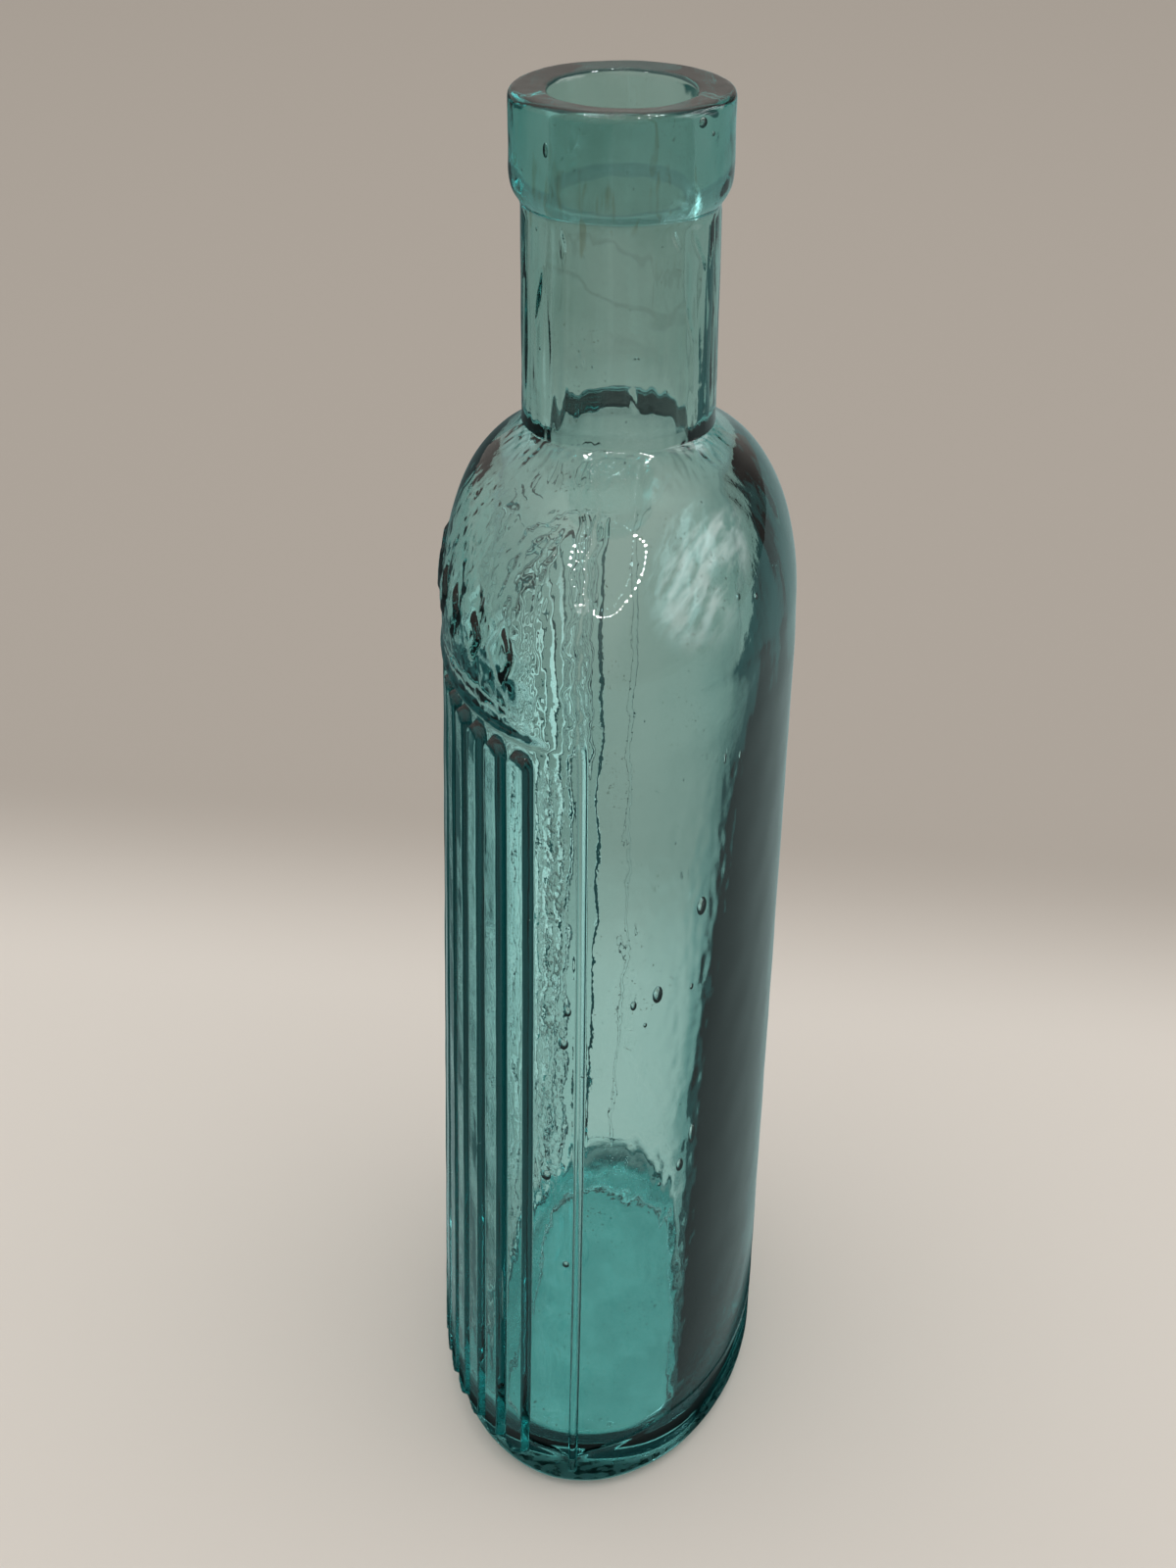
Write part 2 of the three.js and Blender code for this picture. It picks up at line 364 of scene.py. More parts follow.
def body_bend(height):
    """The specimen's shoulder leans a little to the front."""
    return -BODY_BEND * smooth(110, 125, height) * (1 - smooth(131, 142, height))


def set_up(x, y, height, share):
    """Points at a height over the oval, moved to the neck and its lean as the share of oval falls."""
    z = height - NECK_FOOT
    y = y + NECK_FORWARD * share ** 2
    turn = NECK_LEAN * (1 - share)
    across = y * np.cos(turn) - z * np.sin(turn) - NECK_FORWARD + body_bend(height)
    up = y * np.sin(turn) + z * np.cos(turn) + NECK_FOOT
    return np.stack([x, across, np.broadcast_to(up, x.shape)], axis=-1)


def outer_skin(rows, drift=0.0):
    height, share, radius, inset, front = (rows[:, k, None] for k in range(5))
    angle = ANGLE - drift / SPEED
    sine = np.sin(angle)
    depth = HALF_DEPTH - inset - np.where(sine < 0, front, 0)
    x = lerp(radius, HALF_LENGTH - inset, share) * np.cos(angle)
    y = lerp(radius, depth, share) * sine
    return set_up(x, y, height, share)


def wall_thickness(height):
    """Even at the oval's ends, thin in front, and at the back thicker low down, where soft glass sagged."""
    sag = 1 - np.clip((height - SAG_FOOT) / (WALL_HEIGHT - SAG_FOOT), 0, 1)
    back = lerp(BACK_WALL_TOP, BACK_WALL_FOOT, sag) + SHOULDER_GATHER * smooth(*GATHER_RISE, height)
    face = np.where(SIN < 0, FRONT_WALL, back)
    return lerp(END_WALL, face, smooth(*FACE_TURN, TURN_FROM_END))


def inner_skin(rows):
    """The cavity and the bore, one wall's thickness inside the outer oval."""
    height, share, radius = (rows[:, k, None] for k in range(3))
    depth = HALF_DEPTH - np.where(SIN < 0, REED_HEIGHT, 0)
    normal = np.stack([COS / HALF_LENGTH, SIN / depth])
    normal /= np.linalg.norm(normal, axis=0)
    wall = wall_thickness(height)
    x = lerp(radius * COS, HALF_LENGTH * COS - wall * normal[0], share)
    y = lerp(radius * SIN, depth * SIN - wall * normal[1], share)
    return set_up(x, y, height, share)


def shoulder_rows(corner, fillet, radius, dome_steps, fillet_steps):
    """Dome and fillet from the top of the wall to the neck."""
    turn = np.linspace(0, SHOULDER_TURN, dome_steps + 1)[1:]
    rise = (corner - WALL_HEIGHT) * math.sin(SHOULDER_TURN)
    dome = run(WALL_HEIGHT + rise * np.sin(turn), np.cos(turn), radius)
    s = np.linspace(0, 1, fillet_steps + 1)[1:]
    start = (math.cos(SHOULDER_TURN), WALL_HEIGHT + rise * math.sin(SHOULDER_TURN))
    share = (1 - s) ** 2 * start[0]
    height = (1 - s) ** 2 * start[1] + 2 * s * (1 - s) * corner + s ** 2 * (corner + fillet)
    return np.concatenate([dome, run(height, share, radius)])


def outside_rows():
    turn = np.linspace(0, math.pi / 2, HEEL_ROWS + 1)[1:]
    inset = HEEL_RADIUS * (1 - np.sin(turn))
    heel = run(HEEL_RADIUS * (1 - np.cos(turn)), inset=inset, front=REED_HEIGHT)
    height = np.concatenate([
        spaced(HEEL_RADIUS, REED_FOOT_LEVEL, REED_FOOT_STEP),
        spaced(REED_FOOT_LEVEL, REED_TOP_LEVEL, WALL_STEP),
        spaced(REED_TOP_LEVEL, WALL_HEIGHT, REED_TOP_STEP),
    ])
    drawn = REED_HEIGHT * (1 - smooth(GROUND_TOP, GROUND_TOP + LEDGE, height))
    shoulder = shoulder_rows(NECK_FOOT, NECK_FILLET, NECK_RADIUS, DOME_ROWS, FILLET_ROWS)
    neck = run(NECK_FOOT + spaced(NECK_FILLET, LIP_FOOT - LIP_BLEND, NECK_STEP), 0)
    return np.concatenate([heel, run(height, front=drawn), shoulder, neck])


def bezier(points, steps):
    """Points on a curve of any degree, without its first one."""
    s = np.linspace(0, 1, steps + 1)[1:, None]
    points = [np.array(p, float)[None] for p in points]
    while len(points) > 1:
        points = [lerp(a, b, s) for a, b in zip(points, points[1:])]
    return points[0]


def lip_rows():
    """The lip from the neck's top over its foot, side and mouth into the bore."""
    neck = (NECK_RADIUS, LIP_FOOT - LIP_BLEND)
    side = (LIP_RADIUS, LIP_SIDE_FOOT)
    edge = (LIP_RADIUS, LIP_TOP - LIP_EDGE)
    top = (LIP_RADIUS - LIP_EDGE, LIP_TOP)
    mouth = (LIP_BORE + LIP_MOUTH, LIP_TOP - LIP_DISH)
    bore = (LIP_BORE, LIP_TOP - LIP_EDGE)
    outline = [
        bezier([neck, (NECK_RADIUS, LIP_FOOT - 0.3), (12.0, LIP_FOOT - 0.3), LIP_SWELL], 9),
        bezier([LIP_SWELL, (13.0, LIP_FOOT + 1.3), (LIP_RADIUS, LIP_FOOT + 2.3), side], 9),
        bezier([side, edge], 10),
        bezier([edge, (LIP_RADIUS, LIP_TOP), top], 8),
        bezier([top, mouth], 7),
        bezier([mouth, (LIP_BORE, LIP_TOP - LIP_DISH), bore], 8),
    ]
    radius, height = np.concatenate(outline).T
    return run(NECK_FOOT + height, 0, radius)


def inside_rows():
    """The bore, the shoulder and the cavity's wall, downwards."""
    corner = NECK_FOOT - SHOULDER_WALL
    neck = spaced(LIP_TOP - LIP_EDGE, corner + BORE_FILLET - NECK_FOOT, BORE_STEP)
    bore = lerp(BORE_RADIUS, LIP_BORE, smooth(4, LIP_TOP, neck))
    shoulder = shoulder_rows(corner, BORE_FILLET, BORE_RADIUS, INNER_DOME_ROWS, FILLET_ROWS)[::-1][1:]
    wall = spaced(WALL_HEIGHT, FLOOR_THICKNESS + FLOOR_RISE, CAVITY_STEP)
    return np.concatenate([run(NECK_FOOT + neck, 0, bore), shoulder, run(np.append(WALL_HEIGHT, wall))])


def flat_rows(inner, outer, shares, height):
    """Rows that grow from one outline to another at given heights."""
    shares = np.reshape(shares, (-1, 1))
    x = lerp(inner[0], outer[0], shares)
    y = lerp(inner[1], outer[1], shares)
    z = np.broadcast_to(np.reshape(height, (-1, 1)), x.shape)
    return np.stack([x, y, z], axis=-1)


def rounded_outline(half, corner):
    """A rounded rectangle, met along each column's direction from the middle."""
    x, y = HALF_LENGTH * COS, HALF_DEPTH * SIN
    reach = np.hypot(x, y)
    x, y = np.abs(x / reach), np.abs(y / reach)
    low, high = np.zeros_like(x), np.full_like(x, 60.0)
    for _ in range(50):
        middle = 0.5 * (low + high)
        over_x = middle * x - (half[0] - corner)
        over_y = middle * y - (half[1] - corner)
        outside = np.hypot(np.maximum(over_x, 0), np.maximum(over_y, 0)) > corner
        high = np.where(outside, middle, high)
        low = np.where(outside, low, middle)
    return HALF_LENGTH * COS / reach * low, HALF_DEPTH * SIN / reach * low


def base_grid():
    """The base from its middle over the panel and its slope to the heel."""
    panel = rounded_outline(PANEL_HALF, PANEL_CORNER)
    middle = (np.zeros_like(COS), np.zeros_like(COS))
    inner = (panel[0] * PANEL_SLOPE, panel[1] * PANEL_SLOPE)
    rim_depth = HALF_DEPTH - HEEL_RADIUS - np.where(SIN < 0, REED_HEIGHT, 0)
    rim = ((HALF_LENGTH - HEEL_RADIUS) * COS, rim_depth * SIN)
    slope = np.linspace(0, 1, 7)[1:]
    return np.concatenate([
        flat_rows(middle, inner, np.linspace(0.05, 1, 12), PANEL_DEPTH),
        flat_rows(inner, panel, slope, PANEL_DEPTH * (1 - smooth(0, 1, slope))),
        flat_rows(panel, rim, np.linspace(0, 1, 6)[1:], 0.0),
    ])


def bed_grid(wall):
    """The cavity's rounded corner and flat bed, inwards from the lowest row of its wall."""
    bed = rounded_outline(BED_HALF, np.where(COS > 0, BED_NEAR_CORNER, BED_FAR_CORNER))
    turn = np.linspace(math.pi / 2, 0, 17)[1:]
    corner = flat_rows(bed, wall.T[:2], np.sin(turn), FLOOR_THICKNESS + FLOOR_RISE * (1 - np.cos(turn)))
    middle = (np.zeros_like(COS), np.zeros_like(COS))
    flat = flat_rows(middle, bed, np.linspace(1, 0.04, 24)[1:], FLOOR_THICKNESS)
    return np.concatenate([corner, flat])


def grid_normals(points):
    around = np.roll(points, -1, axis=1) - np.roll(points, 1, axis=1)
    normal = np.cross(around, np.gradient(points, axis=0))
    return normal / np.maximum(np.linalg.norm(normal, axis=-1, keepdims=True), 1e-9)


def bar_distance(across, height, foot, top, radius):
    """Distance from the middle line of an upright bar with round ends."""
    over = np.maximum(np.maximum(height - (top - radius), foot + radius - height), 0)
    return np.hypot(across, over)


def rod_height(distance, radius, proud):
    """Height over the ground of a half-round rod whose middle is this far away, with a soft root."""
    inside = np.sqrt(np.maximum(radius ** 2 - distance ** 2, 0)) - (radius - proud)
    outside = proud - radius - 1.5 * (distance - radius)
    return np.maximum(soft_positive(np.where(distance < radius, inside, outside), 0.1), 0)


def reeds(height):
    """1 on the reeds' crowns and 0 on the ground between them."""
    across = np.abs(FRONT_ARC - REEDS[:, None]).min(axis=0)
    inward = REED_HALF - bar_distance(across, height, REED_FOOT, REED_TOP, REED_HALF)
    flank = inward / (REED_HALF - REED_CROWN)
    return (soft_positive(flank, REED_EDGE) - soft_positive(flank - 1, REED_EDGE)) * FRONT


def end_ribs(height):
    rib = rod_height(bar_distance(FROM_END, height, RIB_FOOT, RIB_TOP, RIB_RADIUS), RIB_RADIUS, RIB_PROUD)
    return rib * np.where(COS > 0, 1.0, FAR_RIB)


def bead(height):
    rod = rod_height(np.abs(height - GROUND_TOP - LEDGE), BEAD_RADIUS, BEAD_HEIGHT)
    return rod * smooth(*BEAD_START, FROM_END) * FRONT


def lozenges(height):
    pitch = (GROUND_LENGTH - 2 * LOZENGE_START) / LOZENGE_GAPS
    places = LOZENGE_START + pitch * np.arange(LOZENGE_GAPS + 1)[:, None]
    wide = np.abs(FRONT_ARC - places).min(axis=0) / LOZENGE_HALF[0]
    tall = np.abs(height - LOZENGE_LEVEL) / LOZENGE_HALF[1]
    return LOZENGE_PROUD * smooth(0, LOZENGE_FLANK, 1 - wide - tall) * FRONT


def seam_lines(height, share):
    side = np.where(FRONT, FROM_END, -FROM_END) * share ** 0.5
    lines = 0.0
    for place, wander, proud in SEAM_LINES:
        wave = np.sin(height * 1.1 + place) + 0.7 * np.sin(height * 2.7 + 2 * place)
        lines = lines + proud * np.exp(-((side - place - wander * wave) / SEAM_WIDTH) ** 2)
    return lines * smooth(112, 116, height) * (1 - smooth(134, 150, height))


def joint_groove(height):
    """It runs higher at the back and dips at the ribs."""
    level = JOINT_LEVEL + JOINT_BACK_RISE * smooth(-0.1, 0.7, ANGLE) * (1 - smooth(2.4, 3.1, ANGLE))
    dip = -1.0 * np.exp(-(FROM_END / 1.8) ** 2)
    return -JOINT_DEPTH * np.exp(-((height - level - dip) / JOINT_WIDTH) ** 2)


def crease(height, angle, start, end_angle, end):
    """A short cut in the neck between two angles and heights."""
    place = NECK_RADIUS * (ANGLE - math.radians(angle))
    length = NECK_RADIUS * math.radians(end_angle - angle)
    along = (place * length + (height - start) * (end - start)) / (length ** 2 + (end - start) ** 2)
    along = np.clip(along, 0, 1)
    distance = np.hypot(place - along * length, height - start - along * (end - start))
    return -CREASE_DEPTH * np.exp(-(distance / CREASE_WIDTH) ** 2) * np.sqrt(np.sin(math.pi * along).clip(0))


def moulded_relief(rows):
    """Reeds, end ribs, bead, lozenges, mould lines and tool marks on the outside of the body."""
    height = rows[:, 0, None]
    share = rows[:, 1, None]
    reed = reeds(height)
    relief = REED_HEIGHT * reed + end_ribs(height) + bead(height) + lozenges(height)
    relief += seam_lines(height, share) + joint_groove(height) * (1 - reed)
    for ends in NECK_CREASES:
        relief += crease(height, *ends)
    return relief


def neck_folds():
    """Where the neck was squeezed into folds: on both sides of its near and far end."""
    return between(0.5, 1.1, 0.25, TURN_FROM_END)


def outside_waves(points, rows):
    """Whittled and rippled surface of the outside: pebbled on the shoulder beside the seam, grained on the
    plain strip and drawn out along the neck."""
    height = rows[:, 0, None]
    whittled = WHITTLED * (waves(points, 3, 6.0) - 1)
    shoulder = between(-1.25, -0.3, 0.15, ANGLE) * between(113.6, 134, 3, height)
    pebbles = waves(points, 5, (1.5, 1.5, 2.2)) + 0.6 * waves(points, 6, 0.8)
    plain_strip = between(-0.31, -0.1, 0.05, ANGLE) * between(62, 111, 6, height)
    grain = waves(points, 7, (0.6, 0.6, 1.8)) * smooth(-0.3, 0.5, waves(points, 9, (2.0, 2.0, 9.0)))
    neck = smooth(139, 146, height)
    drawn = waves(points, 8, (1.4, 1.4, 15.0)) * (NECK_DRAWN + NECK_FOLD_DRAWN * neck_folds())
    return whittled + PEBBLED * shoulder * pebbles + STRIP_GRAIN * plain_strip * grain + neck * drawn


def inside_waves(points, rows):
    """Uneven thickness and ripples of the inside, which the mould never touched."""
    height = rows[:, 0, None]
    broad = UNEVEN_WALL * waves(points, 11, (22.0, 22.0, 45.0))
    broad = broad + UNEVEN_PATCH * waves(points, 12, (7.0, 7.0, 14.0))
    streak = STREAKED * waves(points, 13, (1.9, 1.9, 10.0))
    back = between(0.35, 1.2, 0.25, ANGLE)
    ripple = (RIPPLED + BACK_RIPPLED * back) * waves(points, 14, (1.1, 1.1, 1.9))
    wall = 1 - smooth(128, 142, height)
    low = 1 - smooth(98, 112, height)
    ragged = RAGGED * waves(points, 15, (0.9, 0.9, 2.5)) * between(136, 139.5, 1.0, height)
    drawn = waves(points, 16, (1.3, 1.3, 14.0)) * (BORE_DRAWN + BORE_FOLD_DRAWN * neck_folds())
    drawn = drawn * between(142, 158, 8, height)
    return broad * (0.35 + 0.65 * wall) + streak + ripple * wall * low + ragged + drawn


def lip_waves(points):
    return LIP_WAVED * waves(points, 21, 5.0) + LIP_DIMPLED * waves(points, 22, 2.0) - LIP_SUNK


def bed_waves(points):
    return BED_WAVED * waves(points, 31, 9.0) + BED_DIMPLED * waves(points, 32, 3.0)


def bottle_grid():
    """The whole surface of the glass, from the middle of the base up the outside and down the inside."""
    outside = outside_rows()
    inside = inside_rows()
    cavity_wall = inner_skin(inside)
    parts = [
        base_grid(),
        outer_skin(outside, mould_drift(outside[:, 0, None])),
        outer_skin(lip_rows()),
        cavity_wall,
        bed_grid(cavity_wall[-1]),
    ]
    ends = np.cumsum([len(part) for part in parts])
    points = np.concatenate(parts)
    body, band, cavity, bed = (slice(start, end) for start, end in zip(ends, ends[1:]))
    move = np.zeros(points.shape[:2])
    move[body] = moulded_relief(outside) + outside_waves(points[body], outside)
    move[band] = lip_waves(points[band])
    move[cavity] = inside_waves(points[cavity], inside)
    move[bed] = bed_waves(points[bed])
    return points + grid_normals(points) * move[..., None], slice(ends[0], ends[2])


def capped_faces(rows, sides):
    """Faces of a closed grid of points, which come after its first pole and before its last one."""
    i, j = np.meshgrid(np.arange(rows - 1), np.arange(sides), indexing="ij")
    k = (j + 1) % sides
    corners = [i * sides + j, i * sides + k, (i + 1) * sides + k, (i + 1) * sides + j]
    faces = (np.stack(corners, axis=-1).reshape(-1, 4) + 1).tolist()
    last_row = 1 + (rows - 1) * sides
    last_pole = 1 + rows * sides
    for j in range(sides):
        k = (j + 1) % sides
        faces.append((0, 1 + k, 1 + j))
        faces.append((last_pole, last_row + j, last_row + k))
    return faces


def bubble(middle, axes, sizes, rings=8, sides=14):
    """A closed bubble whose faces look into it, as the glass's own surface does."""
    turn = np.linspace(0, math.pi, rings + 1)[1:-1, None]
    side = np.arange(sides) * 2 * math.pi / sides
    across = np.sin(turn)
    ball = np.broadcast_arrays(across * np.cos(side), across * np.sin(side), np.cos(turn))
    points = np.concatenate([[[0, 0, 1]], np.stack(ball, axis=-1).reshape(-1, 3), [[0, 0, -1]]])
    return middle + (points * sizes) @ axes, capped_faces(rings - 1, sides)


def wall_spot(grid, normals, rows, angle, height):
    """The point of the outside at an angle and a height, and its side, outward and up axes."""
    column = np.abs(ANGLE - math.radians(angle)).argmin()
    row = rows.start + np.abs(grid[rows, column, 2] - height).argmin()
    outward = normals[row, column]
    up = grid[row + 1, column] - grid[row - 1, column]
    up /= np.linalg.norm(up)
    return grid[row, column], np.stack([np.cross(outward, up), outward, up])


def bubbles(grid, rows):
    """The blown glass's bubbles: those that show, and fine seed."""
    normals = grid_normals(grid)
    shells = []
    for angle, height, width, length in BUBBLES:
        spot, axes = wall_spot(grid, normals, rows, angle, height)
        sizes = np.array([width, BUBBLE_FLATNESS * width, length]) / 2
        shells.append(bubble(spot - BUBBLE_DEPTH * axes[1], axes, sizes))
    rng = np.random.default_rng(41)
    for _ in range(SEED_COUNT):
        angle, height = rng.uniform(-180, 180), rng.uniform(*SEED_LEVELS)
        spot, axes = wall_spot(grid, normals, rows, angle, height)
        sizes = SEED_SHAPE * rng.uniform(*SEED_SIZES) / 2
        shells.append(bubble(spot - rng.uniform(*SEED_DEPTHS) * axes[1], axes, sizes, 5, 8))
    return shells


def make_glass():
    grid, outer_rows = bottle_grid()
    points = [grid[0].mean(axis=0)[None], grid.reshape(-1, 3), grid[-1].mean(axis=0)[None]]
    faces = capped_faces(*grid.shape[:2])
    for shell, shell_faces in bubbles(grid, outer_rows):
        start = sum(len(part) for part in points)
        points.append(shell)
        faces += [tuple(start + corner for corner in face) for face in shell_faces]
    mesh = bpy.data.meshes.new("bottle_glass")
    mesh.from_pydata(np.concatenate(points) * MM, [], faces)
    mesh.shade_smooth()
    glass = bpy.data.objects.new("bottle_glass", mesh)
    bpy.context.collection.objects.link(glass)
    return glass


def new_material(name):
    material = bpy.data.materials.new(name)
    material.use_nodes = True
    return material, material.node_tree


def coordinates(tree, kind):
    """The place on a surface, or a direction in the world, and its three axes."""
    place = tree.nodes.new("ShaderNodeTexCoord").outputs[kind]
    axes = tree.nodes.new("ShaderNodeSeparateXYZ")
    tree.links.new(place, axes.inputs["Vector"])
    return place, *axes.outputs


def mix_colour(tree, share, a, b):
    """A node's output that goes from one colour to another; either may be another node's output."""
    mix = tree.nodes.new("ShaderNodeMix")
    mix.data_type = "RGBA"
    tree.links.new(share, mix.inputs["Factor"])
    for name, value in (("A", a), ("B", b)):
        if isinstance(value, tuple):
            mix.inputs[name].default_value = (*value, 1)
        else:
            tree.links.new(value, mix.inputs[name])
    return mix.outputs["Result"]


def ranged(tree, value, low, high, start=0.0, end=1.0):
    """A node's output that runs smoothly from start to end as the value goes from low to high."""
    node = tree.nodes.new("ShaderNodeMapRange")
    node.interpolation_type = "SMOOTHSTEP"
    for name, setting in (("From Min", low), ("From Max", high), ("To Min", start), ("To Max", end)):
        node.inputs[name].default_value = setting
    tree.links.new(value, node.inputs["Value"])
    return node.outputs["Result"]


def calculated(tree, operation, *values):
    """A node's output for an operation on values, each a float or another node's output."""
    node = tree.nodes.new("ShaderNodeMath")
    node.operation = operation
    for value, socket in zip(values, node.inputs):
        if isinstance(value, float):
            socket.default_value = value
        else:
            tree.links.new(value, socket)
    return node.outputs["Value"]


def times(tree, a, b):
    return calculated(tree, "MULTIPLY", a, b)


def larger(tree, a, b):
    return calculated(tree, "MAXIMUM", a, b)


def banded(tree, value, first_edge, second_edge):
    """1 between two soft edges, each given as where it is 0 and where it is 1."""
    return times(tree, ranged(tree, value, *first_edge), ranged(tree, value, *second_edge))


def noise_value(tree, place, scale, detail=2.0, stretch=(1, 1, 1)):
    """A noise pattern's output, with its scale per metre."""
    mapping = tree.nodes.new("ShaderNodeMapping")
    mapping.inputs["Scale"].default_value = stretch
    tree.links.new(place, mapping.inputs["Vector"])
    noise = tree.nodes.new("ShaderNodeTexNoise")
    noise.inputs["Scale"].default_value = scale
    noise.inputs["Detail"].default_value = detail
    tree.links.new(mapping.outputs["Vector"], noise.inputs["Vector"])
    return noise.outputs["Fac"]


def reach_from(tree, place, middle, half, squared=False):
    """Distance over the floor plan from a middle, with 1 on the edge of an oval of these half sizes. Squared,
    the oval is filled out towards a rectangle."""
    mapping = tree.nodes.new("ShaderNodeMapping")
    mapping.inputs["Location"].default_value = (-middle[0] / half[0], -middle[1] / half[1], 0)
    mapping.inputs["Scale"].default_value = (1 / half[0], 1 / half[1], 0)
    tree.links.new(place, mapping.inputs["Vector"])
    vector = mapping.outputs["Vector"]
    if squared:
        square = tree.nodes.new("ShaderNodeVectorMath")
        square.operation = "MULTIPLY"
        tree.links.new(vector, square.inputs[0])
        tree.links.new(vector, square.inputs[1])
        vector = square.outputs["Vector"]
    length = tree.nodes.new("ShaderNodeVectorMath")
    length.operation = "LENGTH"
    tree.links.new(vector, length.inputs[0])
    return length.outputs["Value"]


def surface_tint(tree, haze, height):
    """Clear on the body and darker on the neck and the lip, each varied by the haze."""
    colour = mix_colour(tree, times(tree, haze, 0.5), *CLEAR_TINTS)
    colour = mix_colour(tree, ranged(tree, height, 0.137, 0.152), colour, mix_colour(tree, haze, *NECK_TINTS))
    return mix_colour(tree, ranged(tree, height, 0.164, 0.169), colour, mix_colour(tree, haze, *LIP_TINTS))


def brown_stain(tree, place, height):
    """Streaks under the lip and on its lower half."""
    streaks = ranged(tree, noise_value(tree, place, 150, 3, (3.4, 3.4, 0.6)), 0.61, 0.69)
    return times(tree, streaks, banded(tree, height, (0.159, 0.164), (0.176, 0.172)))


def fine_specks(tree, place):
    specks = ranged(tree, noise_value(tree, place, 2300, 1), 0.69, 0.73)
    return times(tree, specks, ranged(tree, noise_value(tree, place, 120, 2), 0.56, 0.66))


def residue_line(tree, place, height):
    """The uneven line that a liquid left inside the neck."""
    tide = calculated(tree, "MULTIPLY_ADD", noise_value(tree, place, 70, 5), 0.022, height)
    line = banded(tree, tide, (0.1690, 0.1695), (0.1702, 0.1697))
    from_axis = reach_from(tree, place, (0, -0.0016), (1, 1))
    return times(tree, line, ranged(tree, from_axis, 0.0098, 0.0092))


def strip_pits(tree, place, x, y, height):
    """Pits in the plain strip between the near rib and the reeds."""
    strip = banded(tree, y, (-0.0062, -0.0046), (-0.0020, -0.0034))
    strip = times(tree, strip, ranged(tree, x, 0.0338, 0.0342))
    strip = times(tree, strip, banded(tree, height, (0.045, 0.08), (0.111, 0.107)))
    pits = ranged(tree, noise_value(tree, place, 2400, 2, (1, 1, 0.55)), 0.50, 0.62)
    patches = ranged(tree, noise_value(tree, place, 220, 2), 0.36, 0.56)
    return times(tree, strip, times(tree, pits, patches))


def worn_base(tree, place, height):
    """Roughness of the resting ring."""
    scuffed = ranged(tree, noise_value(tree, place, 700, 3), 0.3, 0.6, 0.16, 0.36)
    return times(tree, scuffed, ranged(tree, height, 0.0006, 0.0002))


def bump_node(tree, height, strength):
    bump = tree.nodes.new("ShaderNodeBump")
    bump.inputs["Strength"].default_value = strength
    bump.inputs["Distance"].default_value = 0.0001
    tree.links.new(height, bump.inputs["Height"])
    return bump


def glass_material():
    """Aqua glass: the volume gives its colour, and the surface has haze, specks, stains, pits and wear."""
    material, tree = new_material("aqua_glass")
    shader = tree.nodes["Principled BSDF"]
    shader.inputs["IOR"].default_value = 1.51
    shader.inputs["Transmission Weight"].default_value = 1.0
    place, x, y, height = coordinates(tree, "Object")
    haze = ranged(tree, noise_value(tree, place, 90, 4), 0.4, 0.7)
    stain = brown_stain(tree, place, height)
    residue = residue_line(tree, place, height)
    pitted = strip_pits(tree, place, x, y, height)

    colour = surface_tint(tree, haze, height)
    colour = mix_colour(tree, times(tree, stain, 0.75), colour, STAIN_BROWN)
    colour = mix_colour(tree, fine_specks(tree, place), colour, SPECK_GREY)
    colour = mix_colour(tree, times(tree, residue, 0.5), colour, RESIDUE_GREY)
    colour = mix_colour(tree, times(tree, pitted, 0.9), colour, PIT_GREY)
    tree.links.new(colour, shader.inputs["Base Color"])

    dull = larger(tree, times(tree, haze, 0.03), times(tree, stain, 0.12))
    tree.links.new(larger(tree, dull, worn_base(tree, place, height)), shader.inputs["Roughness"])

    ripple = bump_node(tree, noise_value(tree, place, 480, 3), 0.12)
    pits = bump_node(tree, pitted, 1.0)
    pits.invert = True
    tree.links.new(ripple.outputs["Normal"], pits.inputs["Normal"])
    tree.links.new(pits.outputs["Normal"], shader.inputs["Normal"])

    volume = tree.nodes.new("ShaderNodeVolumeAbsorption")
    volume.inputs["Color"].default_value = ABSORBED
    volume.inputs["Density"].default_value = 100.0
    tree.links.new(volume.outputs["Volume"], tree.nodes["Material Output"].inputs["Volume"])
    return material


def painted_light_floor(tree, place, x, y, far, open_floor):
    """Painted light on the floor as the glass shows it: a glow that is darker far behind, a painted pool of
    light in front, a painted shadow under the base and painted caustic light under its panel.
    """
    # Painted pool of light on the floor in front
    pooled = banded(tree, y, (-0.035, -0.06), (-0.24, -0.18))
    pooled = times(tree, pooled, ranged(tree, x, -0.17, -0.135))
    seen = mix_colour(tree, pooled, mix_colour(tree, far, *SEEN_GLOW_TONES), POOLED_LIGHT)
    # Painted shadow under the base's oval
    seen = mix_colour(tree, open_floor, SHADOW_UNDER_BASE, seen)
    # Painted caustic light, mottled, under the panel
    caustic_cloud = ranged(tree, noise_value(tree, place, 130, 4), 0.35, 0.68)
    beside_panel = ranged(tree, reach_from(tree, place, *PANEL_ZONE, squared=True), 0.85, 1.05)
    return mix_colour(tree, beside_panel, mix_colour(tree, caustic_cloud, *CAUSTIC_LIGHT_UNDER_PANEL), seen)


def painted_shade_floor(tree, place, path):
    """Painted shade: a dark floor for rays that leaked through one wall only or were reflected inside the
    glass, near the bottle and in a zone far behind it.
    """
    leaked = ranged(tree, path["Transmission Depth"], 3, 2)
    trapped = larger(tree, leaked, ranged(tree, path["Glossy Depth"], 0, 1))
    low_down = ranged(tree, reach_from(tree, place, *ONE_METRE), 0.27, 0.21)
    behind = ranged(tree, reach_from(tree, place, *SHADED_ZONE_BEHIND), 1.15, 0.85)
    return times(tree, trapped, larger(tree, low_down, behind))


